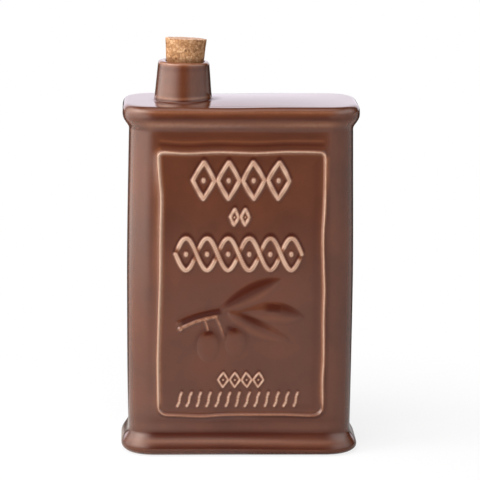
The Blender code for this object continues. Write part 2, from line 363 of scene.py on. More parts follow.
class StudioSetup(bpy.types.PropertyGroup):
    """Camera, lamps and backdrop."""

    camera_place: FloatVectorProperty(
        name="Camera place",
        description="Where the camera stands",
        default=(-0.05192, -1.45764, 0.39301),
        size=3,
        subtype="TRANSLATION",
        unit="LENGTH",
    )
    aim: FloatVectorProperty(
        name="Aim",
        description="Point in the middle of the picture",
        default=(0.00025, 0.0, 0.11073),
        size=3,
        subtype="TRANSLATION",
        unit="LENGTH",
    )
    roll: turn("Roll", "Turn of the camera about its line of sight", -0.42)
    lens: FloatProperty(
        name="Lens",
        description="Focal length",
        default=210.0,
        min=1.0,
        subtype="DISTANCE_CAMERA",
        unit="CAMERA",
    )
    key_watts: amount("Key lamp", "Watts of the soft lamp on the left", 4.0)
    top_watts: amount("Top lamp", "Watts of the soft lamp above the front", 5.7)
    side_watts: amount("Side lamp", "Watts of the weak lamp on the right", 0.8)
    rim_watts: amount("Rim lamp", "Watts of the weak lamp high on the far left", 0.7)
    left_panel: amount("Left panel", "Brightness of the tall panel on the left in the gloss", 1.9)
    glare: amount("Glare", "Brightness of the window high on the left", 2.2)
    right_panel: amount("Right panel", "Brightness of the weak panel on the right", 0.95)
    ahead: amount("Ahead", "Brightness of the room before the front", 0.15)
    overhead: amount("Overhead panel", "Brightness of the panel above the front", 0.55)
    backdrop: amount("Backdrop", "Brightness of the backdrop in the gloss", 1.0)
    room: amount("Room", "Even light of the room on matt surfaces", 0.2)
    floor: colour("Floor", "Colour of the floor", (0.90, 0.90, 0.90))


def ramp(start, end, values):
    """Smooth step from 0 at start to 1 at end."""
    share = np.clip((values - start) / (end - start), 0.0, 1.0)
    return share * share * (3.0 - 2.0 * share)


def bump_at(distance, width):
    """Soft peak of height 1 round a distance of nothing."""
    return np.exp(-((distance / width) ** 2))


def arc(start, end, steps):
    """Angles from start to end in equal steps, both ends included."""
    return [start + (end - start) * step / steps for step in range(steps + 1)]


def cork_lean(cork):
    """Half the angle of the cork's taper: leaning by it stands one flank upright."""
    return math.atan2(cork.top_radius - cork.bottom_radius, cork.length)


def cork_radius(cork, height):
    """Radius of the cork at a height along its axis, measured from the mouth."""
    share = (height + cork.length - cork.shown) / cork.length
    return cork.bottom_radius + (cork.top_radius - cork.bottom_radius) * share


def bore_radius(cork):
    """Bore that clears the leaning cork where it is widest in the mouth."""
    lean = cork_lean(cork)
    return cork_radius(cork, 0.0) * math.cos(lean) / math.cos(2.0 * lean) + CORK_CLEARANCE


def half_width(shape, height):
    """Half the body's width, which draws in towards the shoulder and the foot."""
    place = 2.0 * np.asarray(height) / shape.height - 1.0
    draw_in = np.where(place > 0.0, SHOULDER_DRAW_IN, FOOT_DRAW_IN)
    return shape.width / 2.0 - draw_in * np.abs(place) ** 1.5


def crown(shape, x, y):
    """Height of the domed top over its edge."""
    across = np.clip(x / half_width(shape, shape.height), -1.0, 1.0)
    deep = np.clip(y / (shape.depth / 2.0), -1.0, 1.0)
    return shape.top_crown * (1.0 - across**2) * (1.0 - deep**2)


def neck_x(shape):
    """Place of the neck's axis across the front."""
    return NECK_FROM_SIDE - shape.width / 2.0


def mouth_height(shape):
    """Height of the lip above the table."""
    top = shape.height + float(crown(shape, neck_x(shape), 0.0))
    return top + shape.neck_height


def roll_levels(shape):
    """Heights and stand-outs of the foot roll and of the shoulder roll."""
    foot = []
    for angle in arc(0.0, QUARTER, FOOT_EDGE_STEPS):
        stand_out = shape.foot_proud - FOOT_EDGE_INSET * (1.0 - math.sin(angle))
        foot.append((FOOT_ROLL_CREST * (1.0 - math.cos(angle)), stand_out))
    for angle in arc(0.0, math.pi, FOOT_FLANK_STEPS)[1:]:
        height = FOOT_ROLL_CREST + (shape.foot_height - FOOT_ROLL_CREST) * angle / math.pi
        foot.append((height, shape.foot_proud * (1.0 + math.cos(angle)) / 2.0))
    start = shape.height - shape.shoulder_height
    crest = shape.height - SHOULDER_ROLL_CREST
    shoulder = []
    for below in arc(1.0, 0.0, SHOULDER_FLANK_STEPS):
        swell = (1.0 + math.cos(math.pi * below**SHOULDER_FULLNESS)) / 2.0
        shoulder.append((crest - (crest - start) * below, shape.shoulder_proud * swell))
    for angle in arc(0.0, QUARTER, SHOULDER_EDGE_STEPS)[1:]:
        rise = math.sin(angle) ** SHOULDER_SQUARENESS
        reach = max(math.cos(angle), 0.0) ** SHOULDER_SQUARENESS
        stand_out = shape.shoulder_proud - SHOULDER_EDGE_INSET * (1.0 - reach)
        shoulder.append((crest + SHOULDER_ROLL_CREST * rise, stand_out))
    return np.array(foot), np.array(shoulder)


def spread(share):
    """Places of the front's columns from -1 to 1, closer together towards both ends."""
    return share * (1.0 + END_NARROWING - END_NARROWING * share**2)


def rounded(value):
    """Share of a corner's reach, squarer than a sine or cosine."""
    return math.copysign(abs(value) ** (2.0 / CORNER_SQUARENESS), value)


def plan_columns():
    """Each column's shares of the plan's straight sides and corners, round from the left front."""
    columns = []
    for step in range(FRONT_CELLS):
        columns.append((spread(2.0 * step / FRONT_CELLS - 1.0), -1.0, 0.0, -1.0))
    sides = ((1, -1, 3), (1, 1, 0), (-1, 1, 1), (-1, -1, 2))
    for side_x, side_y, quarters in sides:
        for step in range(CORNER_CELLS):
            angle = (quarters + step / CORNER_CELLS) * QUARTER
            columns.append((side_x, side_y, rounded(math.cos(angle)), rounded(math.sin(angle))))
        if quarters == 3:
            columns += [(1, 2.0 * step / SIDE_CELLS - 1.0, 1, 0) for step in range(SIDE_CELLS)]
        if quarters == 0:
            columns += [(1.0 - 2.0 * step / BACK_CELLS, 1, 0, 1) for step in range(BACK_CELLS)]
        if quarters == 1:
            columns += [(-1, 1.0 - 2.0 * step / SIDE_CELLS, -1, 0) for step in range(SIDE_CELLS)]
    return np.array(columns, float)


def plan(shape, columns, height, stand_out):
    """Points of the body's plan at a height, moved out or in by stand_out."""
    corner_across = np.maximum(shape.corner_across + stand_out, LEAST_CORNER)
    corner_deep = np.maximum(shape.corner_deep + stand_out, LEAST_CORNER)
    flat_across = half_width(shape, height) + stand_out - corner_across
    flat_deep = shape.depth / 2.0 + stand_out - corner_deep
    x = columns[..., 0] * flat_across + columns[..., 2] * corner_across
    y = columns[..., 1] * flat_deep + columns[..., 3] * corner_deep
    return np.stack(np.broadcast_arrays(x, y, height), -1)


def wander(points):
    """Slow waves from 0 to 1 over the outside, as a hand-finished mould leaves them."""
    x, y, z = (points[..., axis] for axis in range(3))
    waves = np.sin(x * 61.0 + z * 23.0 + 1.3) + np.sin(z * 74.0 - x * 31.0 + y * 40.0)
    waves += np.sin(x * 118.0 - z * 97.0 + y * 70.0 + 4.1) * 0.5
    return waves / 5.0 + 0.5


def swayed_plan(shape, columns, height, stand_out):
    """The plan with the walls' slow waves, always inside the true plan."""
    true_plan = plan(shape, columns, height, stand_out)
    return plan(shape, columns, height, stand_out - shape.sway * wander(true_plan))


def slump_of_foot(shape, x, height):
    """How far the foot roll's flank sinks towards the right, most at half its height."""
    share = np.clip(np.asarray(height) / shape.foot_height, 0.0, 1.0)
    return FOOT_SLUMP * ramp(FOOT_SLUMP_FROM, FOOT_SLUMP_TO, x) * np.sin(math.pi * share)


def lift_of_edge(x):
    """How far the top edge rises on both sides of the place where it sags."""
    return SAG_DEPTH * ramp(0.0, SAG_REACH, np.abs(x - SAG_X))


class Relief:
    """Height, thin glaze with painted highlights, and pooled glaze with painted shade of the front,
    built up over a field of points.

    A stroke's lengths are how far it reaches beyond its band, how softly its edges rise, where the
    glaze breaks inside them and how widely, and where it gathers beside them and how widely.
    """

    REACH = 4.0 * MM
    SOFT_EDGE = 0.55 * MM
    BREAK_INSET = 0.5 * MM
    BREAK_WIDTH = 0.38 * MM
    BESIDE = 0.3 * MM
    BESIDE_WIDTH = 0.9 * MM
    # Share of the painted highlight on a leaf's lower half
    LEAF_UNDER_HIGHLIGHT = 0.15

    def __init__(self, x, z):
        self.x = x
        self.z = z
        self.height = np.zeros_like(x)
        self.thin = np.zeros_like(x)
        self.pool = np.zeros_like(x)

    def within(self, line, reach):
        """The points that lie near a line."""
        low = line.min(axis=0) - reach
        high = line.max(axis=0) + reach
        across = (self.x > low[0]) & (self.x < high[0])
        return across & (self.z > low[1]) & (self.z < high[1])

    def near(self, line, chosen):
        """Distance of the chosen points from a line, their rise over it, and the way along it."""
        x = self.x[chosen]
        z = self.z[chosen]
        best = np.full(x.shape, 1.0)
        rise = np.zeros_like(x)
        along = np.zeros_like(x)
        steps = np.hypot(*np.diff(line, axis=0).T)
        done = 0.0
        for first, last, step in zip(line, line[1:], steps):
            across, up = last - first
            share = ((x - first[0]) * across + (z - first[1]) * up) / step**2
            share = np.clip(share, 0.0, 1.0)
            off_z = z - first[1] - share * up
            distance = np.hypot(x - first[0] - share * across, off_z)
            closer = distance < best
            best[closer] = distance[closer]
            rise[closer] = off_z[closer]
            along[closer] = (done + share[closer] * step) / steps.sum()
            done += step
        return best, rise, along

    def raise_to(self, chosen, height):
        """Raise the chosen points to a height, where they lie lower."""
        self.height[chosen] = np.maximum(self.height[chosen], height)

    def mark(self, layer, chosen, values):
        """Raise the chosen points' marks in a layer to values, where they are lower."""
        layer[chosen] = np.maximum(layer[chosen], values)

    def stroke(self, line, half, proud, thin=1.0, pool=1.0, dip=None):
        """Raised band along a line: glaze breaks over both its edges and gathers beside it, and a
        painted shade lies in a band above it.
        """
        chosen = self.within(line, half + self.REACH)
        distance, _, along = self.near(line, chosen)
        half = half * (1.0 + 0.07 * np.sin(along * 23.0 + line[0, 0] * 900.0))
        soft = min(self.SOFT_EDGE, float(half.min()) * 0.8)
        level = ramp(0.0, 1.0, (half - distance) / (2.0 * soft) + 0.62)
        lift = np.ones_like(along) if dip is None else 1.0 - dip(along)
        self.raise_to(chosen, proud * level * lift)
        edge = np.maximum(half - self.BREAK_INSET, 0.0)
        uneven = 0.88 + 0.12 * np.sin(along * 31.0 + line[0, 1] * 700.0)
        crest = np.maximum(bump_at(distance - edge, self.BREAK_WIDTH), 0.74 * level)
        self.mark(self.thin, chosen, thin * crest * lift * uneven)
        beside = bump_at(distance - half - self.BESIDE, self.BESIDE_WIDTH)
        widest = float(half.max())
        # Painted shade: a dark band laid above the stroke; beside it, glaze gathered
        lifted, _, _ = self.near(line + (0.0, 1.7 * widest), chosen)
        over = ramp(2.2 * widest, 0.7 * widest, lifted)
        gathered_and_shade = np.maximum(0.25 * beside, over) * (distance > half)
        self.mark(self.pool, chosen, pool * gathered_and_shade)

    def shade(self, line, half, share, fade=0.35):
        """Painted shade along a line, with nothing raised, and fading at its ends."""
        chosen = self.within(line, half + 2.0 * MM)
        distance, _, along = self.near(line, chosen)
        ends = ramp(0.0, fade, along) * ramp(1.0, 1.0 - fade, along)
        across = ramp(half + 0.6 * MM, half - 0.9 * MM, distance)
        self.mark(self.pool, chosen, share * across * ends)

    def dome(self, centre, across, up, proud, thin=0.8, pool=0.7):
        """Round-topped pellet or olive, with painted shade round its upper rim."""
        line = np.array([centre])
        chosen = self.within(line, max(across, up) + 3.0 * MM)
        off_x = (self.x[chosen] - centre[0]) / across
        off_z = (self.z[chosen] - centre[1]) / up
        out = np.hypot(off_x, off_z)
        self.raise_to(chosen, proud * np.sqrt(np.clip(1.0 - out**2, 0.0, 1.0)) ** 1.3)
        self.mark(self.thin, chosen, thin * bump_at(out - 0.35, 0.42))
        # Painted shade round the rim, heaviest over the top
        rim = bump_at(out - 1.08, 0.22) * np.clip(0.35 + off_z, 0.0, 1.0)
        self.mark(self.pool, chosen, pool * rim)

    def leaf(self, proud, base, tip, bend, half, dark, belly, bare, last, deep):
        """Pillow-shaped leaf between two ends, fullest near its upper edge, with painted shade on its
        upper flank and a painted highlight on its lower half.
        """
        base = np.array(base) * MM
        tip = np.array(tip) * MM
        chosen = self.within(np.array([base, tip]), 9.0 * MM)
        way = tip - base
        reach = float(np.hypot(*way))
        way = way / reach
        off_x = self.x[chosen] - base[0]
        off_z = self.z[chosen] - base[1]
        along = np.clip((off_x * way[0] + off_z * way[1]) / reach, 1e-4, 1.0 - 1e-4)
        over = off_z * way[0] - off_x * way[1]
        beyond = (off_x * way[0] + off_z * way[1]) / reach - along
        full = half * MM * np.sin(math.pi * along**belly) ** 0.65
        place = (over - bend * MM * np.sin(math.pi * along)) / np.maximum(full, 0.2 * MM)
        place = np.where(np.abs(beyond) > 1e-6, 9.0, place)
        crest = np.clip(1.0 - ((place - 0.22) / np.where(place > 0.22, 0.78, 1.22)) ** 2, 0.0, 1.0)
        inside = np.abs(place) < 1.0
        swell = np.minimum(full / (half * MM), 1.0) ** 0.7
        self.raise_to(chosen, proud * crest**1.1 * swell * inside)
        # Painted shade on the leaf's upper flank
        flank = ramp(-0.35, 0.35, place + deep) * ramp(1.15, 0.80, place)
        flank *= 0.82 + 0.18 * ramp(0.2, 0.7, place)
        length_share = ramp(bare, bare + 0.2, along) * ramp(last, last - 0.35, along)
        self.mark(self.pool, chosen, flank * length_share * dark)
        # Painted highlight on the leaf's lower half
        under = bump_at(place + 0.45, 0.40) * inside
        self.mark(self.thin, chosen, self.LEAF_UNDER_HIGHLIGHT * under * swell)


def smooth_line(points, steps):
    """Curve through points in millimetres, as a line in metres."""
    points = np.array(points, float) * MM
    padded = np.vstack((2.0 * points[0] - points[1], points, 2.0 * points[-1] - points[-2]))
    line = []
    for a, b, c, d in zip(padded, padded[1:], padded[2:], padded[3:]):
        for step in range(steps):
            t = step / steps
            line.append(
                b
                + 0.5 * t * (c - a)
                + t * t * (a - 2.5 * b + 2.0 * c - 0.5 * d)
                + t * t * t * (1.5 * b - 0.5 * a - 1.5 * c + 0.5 * d)
            )
    line.append(points[-1])
    return np.array(line)


def stray(knots, place):
    """Smooth departure from a straight line, read at places along it."""
    table = smooth_line(knots, 6)
    return np.interp(place, table[:, 0], table[:, 1])


def frame_outline(shape):
    """The raised frame's line, pressed a little out of true."""
    low = shape.foot_height + FRAME_FOOT_MARGIN
    high = shape.height - shape.shoulder_height - FRAME_HEAD_MARGIN
    reach = shape.width / 2.0 - FRAME_SIDE_MARGIN
    middle = (low + high) / 2.0
    half_up = (high - low) / 2.0
    line = []
    for side_x, side_z, start in ((-1, 1, 1), (-1, -1, 2), (1, -1, 3), (1, 1, 4)):
        radius = FRAME_CORNER if side_z > 0 else FRAME_LOW_CORNER
        centre = np.array((side_x * (reach - radius), middle + side_z * (half_up - radius)))
        for angle in arc(start * QUARTER, (start + 1) * QUARTER, FRAME_CORNER_STEPS):
            line.append(centre + radius * np.array((math.cos(angle), math.sin(angle))))
    line.append(line[0])
    fine = []
    for first, last in zip(line, line[1:]):
        pieces = max(1, int(np.hypot(*(last - first)) / FRAME_STEP))
        fine += [first + (last - first) * step / pieces for step in range(pieces)]
    fine = np.array(fine + [line[0]])
    x, z = fine.T
    sideways = np.where(x < 0.0, -stray(STRAY_LEFT, z), stray(STRAY_RIGHT, z))
    upward = np.where(z < middle, stray(STRAY_FOOT, x), stray(STRAY_HEAD, x))
    side = ramp(reach - 2.0 * FRAME_CORNER, reach, np.abs(x))
    return fine + np.stack((sideways * side + FRAME_ASIDE, upward * (1.0 - 0.6 * side)), -1)


def press_lozenges(relief, centre_x, centre_z, count, across, up, half, proud):
    """Row of open lozenges, point to point, each with a pellet in its middle."""
    for place in range(count):
        middle = centre_x + (place - (count - 1) / 2.0) * across
        tilt = 0.35 * math.sin(place * 2.3 + 0.6)
        corners = (
            (middle - across / 2.0 + half, centre_z + tilt * 0.5),
            (middle + tilt, centre_z + up / 2.0),
            (middle + across / 2.0 - half, centre_z - tilt * 0.4),
            (middle - tilt * 0.7, centre_z - up / 2.0),
        )
        line = []
        for step in range(4 * LOZENGE_STEPS + 1):
            share = (step % (4 * LOZENGE_STEPS)) / LOZENGE_STEPS
            side = int(share)
            first = np.array(corners[side])
            last = np.array(corners[(side + 1) % 4])
            point = first + (last - first) * (share - side)
            bow = math.sin(math.pi * (share - side)) * 0.06
            line.append(point + (point - np.array((middle, centre_z))) * bow)
        relief.stroke(np.array(line) * MM, half * MM, proud)
        pellet = (middle * MM, centre_z * MM)
        relief.dome(pellet, across * 0.11 * MM, up * 0.10 * MM, proud * 0.9)


def press_braid(relief, left, right, centre_z, rise, half, proud):
    """Two strands that cross over and under, with a pellet in each eye."""
    reach = right - left
    last = BRAID_STEPS * BRAID_TURNS

    def strand(phase):
        line = []
        for step in range(last + 1):
            share = step / last
            swing = math.sin(2.0 * math.pi * (share * BRAID_TURNS + phase))
            line.append((left + reach * share, centre_z + rise * swing))
        return np.array(line) * MM

    def dip(phase):
        def under(along):
            crossing = np.cos(2.0 * math.pi * (along * BRAID_TURNS + phase))
            return 0.75 * ramp(0.80, 0.99, crossing)

        return under

    for phase in (0.0, 0.5):
        relief.stroke(strand(phase), half * MM, proud, dip=dip(phase))
    for eye in range(2 * BRAID_TURNS):
        middle = left + reach * (eye + 0.5) / (2 * BRAID_TURNS)
        across, up = BRAID_PELLET
        relief.dome((middle * MM, centre_z * MM), across * MM, up * MM, proud * 0.9)


def press_dashes(relief, left, right, centre_z, up, half, proud):
    """Row of slanted, slightly curved dashes, as in a twisted cord."""
    for place in range(DASH_COUNT):
        middle = left + (right - left) * (place + 0.5) / DASH_COUNT
        lean = 1.15 + 0.2 * math.sin(place * 1.9)
        knots = ((-lean, -0.5), (-lean * 0.15, -0.2), (lean * 0.2, 0.2), (lean, 0.5))
        line = smooth_line([(middle + aside, centre_z + up * share) for aside, share in knots], 4)
        relief.stroke(line, half * MM, proud, thin=0.9, pool=0.55)


def press_sprig(relief, proud):
    """Olive sprig: a stem with a knob, three leaves and two hanging olives."""
    for leaf in LEAVES:
        relief.leaf(proud, **leaf)
    for centre, across, up in OLIVES:
        centre = np.array(centre) * MM
        relief.dome(centre, across * MM, up * MM, proud * 0.8, thin=0.05, pool=0.5)
    stem = smooth_line(STEM, 6)
    relief.stroke(stem, 1.2 * MM, proud * 0.25, thin=0.0, pool=0.2)
    # The stem's dark band is painted shade
    relief.shade(stem, 1.7 * MM, 1.1, fade=0.1)
    # Painted shade between the leaves and over the olives
    for line, half, share in SPRIG_SHADES:
        relief.shade(smooth_line(line, 5), half * MM, share)
    # Raised ridge under the stem, its paler glaze partly a painted highlight
    relief.stroke(smooth_line(STEM_RIDGE, 6), 0.75 * MM, proud, thin=0.5, pool=0.1)
    centre, across, up = STEM_KNOB
    centre = np.array(centre) * MM
    relief.dome(centre, across * MM, up * MM, proud * 1.4, thin=0.5, pool=0.2)
    relief.stroke(smooth_line(SHORT_STALK, 4), 0.55 * MM, proud * 0.9, thin=0.5, pool=0.1)

    def sink(along):
        return ramp(0.25, 0.9, along)

    stalk = smooth_line(LONG_STALK, 5)
    relief.stroke(stalk, 0.6 * MM, proud * 0.9, thin=0.42, pool=0.1, dip=sink)


def glaze_the_frame(relief, outline, distance, rise, inside):
    """Thin glaze and painted highlights along the frame's line, painted shade beside and below
    it, and painted bands of shade and highlight over its head.
    """
    x = relief.x
    z = relief.z

    def lay(layer, share, away, centre, width):
        relief.mark(layer, slice(None), share * bump_at(away - centre * MM, width * MM))

    low = ramp(30.0 * MM, 23.0 * MM, z)
    high = ramp(155.0 * MM, 160.0 * MM, z)
    # Painted highlight along the line: strongest on the left, towards the key lamp, weaker low down
    frame_highlight = 0.72 + 0.28 * ramp(-34.0 * MM, -42.0 * MM, x) - 0.06 * ramp(34.0 * MM, 42.0 * MM, x)
    frame_highlight *= (1.0 - 0.46 * low) * (1.0 + 0.16 * high)
    frame_highlight *= 1.0 - 0.3 * low * ramp(35.0 * MM, 41.0 * MM, x)
    lay(relief.thin, frame_highlight, distance, 0.0, 0.78 - 0.16 * ~inside - 0.18 * low)
    lay(relief.thin, 0.46 * frame_highlight * (1.0 - 0.8 * low) * inside, distance, 0.4, 1.6)
    # Painted shade outside the line, on its right and under it
    below = np.clip(-rise / (1.2 * MM), 0.0, 1.0)
    right = np.clip(x / (30.0 * MM), 0.0, 1.0) * (1.0 - below)
    outer = (distance > 0.5 * MM) * ~inside
    lay(relief.pool, 0.46 * right * outer, distance, 1.1, 1.2)
    lay(relief.pool, 0.95 * below * outer, distance, 0.9, 0.9)
    # Painted highlight outside the left line
    left = ramp(-41.0 * MM, -43.0 * MM, x) * ramp(50.0 * MM, 115.0 * MM, z)
    lay(relief.thin, 0.26 * left * outer, distance, 1.8, 1.7)
    # Painted shade inside the line, heavier on the right
    lay(relief.pool, (0.10 + 0.16 * right) * inside, distance, 4.6, 2.0)
    # Painted reflection over the head line: bands of shade, highlight and shade
    head = z - outline[:, 1].max() - stray(STRAY_HEAD, x)
    between = ramp(45.0 * MM, 41.0 * MM, np.abs(x))
    lay(relief.pool, 0.72 * between, head, 3.1, 1.0)
    lay(relief.thin, 0.20 * between, head, 5.2, 0.8)
    lay(relief.pool, 0.22 * between, head, 7.8, 1.2)


def front_relief(shape, x, z):
    """All that stands on the front: the frame, its sunken panel, ornament rows and the sprig."""
    relief = Relief(x, z)
    proud = shape.relief_proud
    for *row, share in LOZENGE_ROWS:
        press_lozenges(relief, *row, proud * share)
    press_braid(relief, *BRAID, proud)
    press_dashes(relief, *DASHES, proud * DASH_PROUD)
    press_sprig(relief, proud)
    outline = frame_outline(shape)
    distance, rise, _ = relief.near(outline, slice(None))
    inside = inside_line(x, z, outline)
    signed = np.where(inside, distance, -distance)
    swell = bump_at(signed, FRAME_SWELL_WIDTH) * ramp(0.9 * MM, -0.4 * MM, signed)
    relief.height -= PANEL_SUNK * ramp(-0.4 * MM, 1.3 * MM, signed)
    relief.height += shape.line_proud * bump_at(distance, FRAME_WIDTH)
    relief.height += FRAME_SWELL * swell
    glaze_the_frame(relief, outline, distance, rise, inside)
    return relief


def inside_line(x, z, line):
    """Which points a closed line goes round."""
    inside = np.zeros(x.shape, bool)
    for (ax, az), (bx, bz) in zip(line, line[1:]):
        if az == bz:
            continue
        spans = (z < az) != (z < bz)
        inside ^= spans & (x < ax + (z - az) * (bx - ax) / (bz - az))
    return inside


def stand_out_at(levels, height):
    """Stand-out of the outside at a height, between its levels."""
    return np.interp(height, levels[:, 0], levels[:, 1])


def foot_rings(shape, columns, foot):
    """Rings of the hollow, of the flat rim and of the foot roll."""
    rim = foot[0, 1] - FOOT_RIM_WIDTH
    hollow = plan(shape, columns, FOOT_HOLLOW_DEPTH, rim - HOLLOW_INSET)
    rings = [hollow * (share, share, 1.0) for share in HOLLOW_SHARES]
    rings.append(plan(shape, columns, HOLLOW_EDGE_HEIGHT, rim - HOLLOW_EDGE_INSET))
    for share in RIM_SHARES:
        rings.append(plan(shape, columns, 0.0, rim + (foot[0, 1] - rim) * share))
    for height, stand_out in foot:
        ring = swayed_plan(shape, columns, height, stand_out)
        ring[:, 2] -= slump_of_foot(shape, ring[:, 0], height)
        rings.append(ring)
    return rings


def neck_rings(shape, cork, edge):
    """Rings from the top's edge over the domed top, up the neck and down the throat."""
    neck = np.array((neck_x(shape), 0.0, 0.0))
    angles = np.arctan2(edge[:, 1], edge[:, 0] - neck[0])
    around = np.stack((np.cos(angles), np.sin(angles), np.zeros_like(angles)), -1)
    lip_radius = bore_radius(cork) + shape.lip_wall
    foot_radius = lip_radius + NECK_SPREAD
    base_radius = foot_radius + NECK_FLARE

    def neck_ring(radius, height, aside=0.0, drop=0.0):
        ring = neck + around * radius
        ring[:, 0] += aside
        ring[:, 2] = height - drop * LIP_DROP * ramp(-0.2, 1.0, around[:, 0])
        return ring

    def on_top(ring):
        return shape.height + crown(shape, ring[:, 0], ring[:, 1])

    rings = []
    skirt = neck_ring(base_radius + NECK_FILLET, 0.0, NECK_FOOT_ASIDE)
    for step in range(1, TOP_STEPS + 1):
        share = step / TOP_STEPS
        ring = edge * (1.0 - share) + skirt * share
        ring[:, 2] = on_top(ring) + lift_of_edge(ring[:, 0]) * (1.0 - share)
        rings.append(ring)
    for angle in arc(0.0, QUARTER, FILLET_STEPS)[1:]:
        radius = base_radius + NECK_FILLET * (1.0 - math.sin(angle))
        ring = neck_ring(radius, 0.0, NECK_FOOT_ASIDE)
        ring[:, 2] = on_top(ring) + NECK_FILLET * (1.0 - math.cos(angle))
        rings.append(ring)
    low = rings[-1][:, 2]
    lip = mouth_height(shape)
    high = lip - LIP_ROUND
    for step in range(1, NECK_CELLS + 1):
        share = step / NECK_CELLS
        radius = foot_radius + (lip_radius - foot_radius) * share
        radius += NECK_FLARE * max(1.0 - share * shape.neck_height / NECK_FLARE_REACH, 0.0) ** 2
        level = low * (1.0 - share) + high * share
        rings.append(neck_ring(radius, level, NECK_FOOT_ASIDE * (1.0 - share), share**3))
    for angle in arc(0.0, QUARTER, LIP_STEPS)[1:]:
        radius = lip_radius - LIP_ROUND * (1.0 - math.cos(angle))
        rings.append(neck_ring(radius, high + LIP_ROUND * math.sin(angle), 0.0, 1.0))
    bore = bore_radius(cork)
    for angle in arc(QUARTER, 0.0, ROUND_STEPS):
        radius = bore + MOUTH_ROUND * (1.0 - math.cos(angle))
        height = lip - MOUTH_ROUND * (1.0 - math.sin(angle))
        rings.append(neck_ring(radius, height, BORE_ASIDE, 1.0))
    ceiling = shape.height - TOP_THICKNESS
    for step in range(1, THROAT_STEPS):
        share = step / THROAT_STEPS
        level = (lip - MOUTH_ROUND) * (1.0 - share) + (ceiling + THROAT_FLARE) * share
        rings.append(neck_ring(bore, level, BORE_ASIDE, 1.0 - share))
    for angle in arc(QUARTER, 0.0, ROUND_STEPS):
        radius = bore + THROAT_FLARE * (1.0 - math.sin(angle))
        height = ceiling + THROAT_FLARE * (1.0 - math.cos(angle))
        rings.append(neck_ring(radius, height, BORE_ASIDE))
    return rings


def cavity_rings(shape, columns, levels, throat):
    """Rings from the throat over the cavity's ceiling, down its wall and over its floor."""
    top = shape.height - TOP_THICKNESS - CAVITY_ROUND
    bottom = BASE_THICKNESS + CAVITY_ROUND
    profile = []
    for angle in arc(QUARTER, 0.0, ROUND_STEPS):
        inset = CAVITY_ROUND * (1.0 - math.cos(angle))
        profile.append((top + CAVITY_ROUND * math.sin(angle), inset))
    for step in range(1, CAVITY_STEPS):
        share = step / CAVITY_STEPS
        profile.append((top * (1.0 - share) + bottom * share, 0.0))
    for angle in arc(QUARTER, 0.0, ROUND_STEPS):
        inset = CAVITY_ROUND * (1.0 - math.sin(angle))
        profile.append((bottom - CAVITY_ROUND * math.cos(angle), inset))
    walls = []
    for height, inset in profile:
        stand_out = stand_out_at(levels, height) - WALL - inset
        walls.append(plan(shape, columns, height, stand_out))
    over = [throat * (1.0 - share) + walls[0] * share for share in CEILING_SHARES]
    floor = [walls[-1] * (share, share, 1.0) for share in FLOOR_SHARES]
    return over + walls + floor


def bottle_rings(shape, cork, columns):
    """Rings of the whole closed skin, from under the foot over the lip to the cavity's floor."""
    foot, shoulder = roll_levels(shape)
    rings = foot_rings(shape, columns, foot)
    body_start = len(rings) - 1
    start = shape.foot_height
    rise = shape.height - shape.shoulder_height - start
    for step in range(1, BODY_CELLS):
        rings.append(swayed_plan(shape, columns, start + rise * step / BODY_CELLS, 0.0))
    for height, stand_out in shoulder:
        ring = swayed_plan(shape, columns, height, stand_out)
        ring[:, 2] += lift_of_edge(ring[:, 0]) * ramp(start + rise, shape.height, height)
        rings.append(ring)
    rings += neck_rings(shape, cork, rings[-1])
    rings += cavity_rings(shape, columns, np.vstack((foot, shoulder)), rings[-1])
    return rings, body_start


def front_field(shape):
    """Fine grid of points over the front with its relief, and the glaze marks of each point."""
    shares = np.linspace(-1.0, 1.0, FRONT_CELLS * FINE + 1)
    top = shape.height - shape.shoulder_height
    heights = np.linspace(shape.foot_height, top, BODY_CELLS * FINE + 1)
    front = np.zeros((len(shares), 4))
    front[:, 0] = spread(shares)
    front[:, 1] = -1.0
    front[:, 3] = -1.0
    field = swayed_plan(shape, front[None, :, :], heights[:, None], 0.0)
    relief = front_relief(shape, field[..., 0].ravel(), field[..., 2].ravel())
    layers = (relief.height, relief.thin, relief.pool)
    raised, thin, pool = (layer.reshape(field.shape[:2]) for layer in layers)
    field[..., 1] -= raised
    return field, raised, thin, pool


def fine_span(cell):
    """Places in the fine grid that one cell takes up, both its borders included."""
    return slice(cell * FINE, (cell + 1) * FINE + 1)


def busy_cells(field, raised, thin, pool):
    """Cells of the front that need a finer cut. Those on its border never get one."""
    slope = np.hypot(*np.gradient(raised, field[1, 0, 2] - field[0, 0, 2]))
    change = np.hypot(*np.gradient(thin)) + np.hypot(*np.gradient(pool))
    detail = np.maximum(slope / BUSY_SLOPE, change / BUSY_CHANGE)
    busy = np.zeros((BODY_CELLS, FRONT_CELLS), bool)
    for row in range(1, BODY_CELLS - 1):
        for place in range(1, FRONT_CELLS - 1):
            busy[row, place] = detail[fine_span(row), fine_span(place)].max() > 1.0
    return busy


def side_face(here, place, count):
    """Face between two neighbouring points of a ring and those over them in the next ring."""
    after = (place + 1) % count
    upper = here + count
    return (here + place, here + after, upper + after, upper + place)


def end_fans(centre, last, count):
    """Fans of faces that close the first ring and the last one, whose centres are two points."""
    first_fan = [(centre, (place + 1) % count, place) for place in range(count)]
    last_fan = [(centre + 1, last + place, last + (place + 1) % count) for place in range(count)]
    return first_fan + last_fan


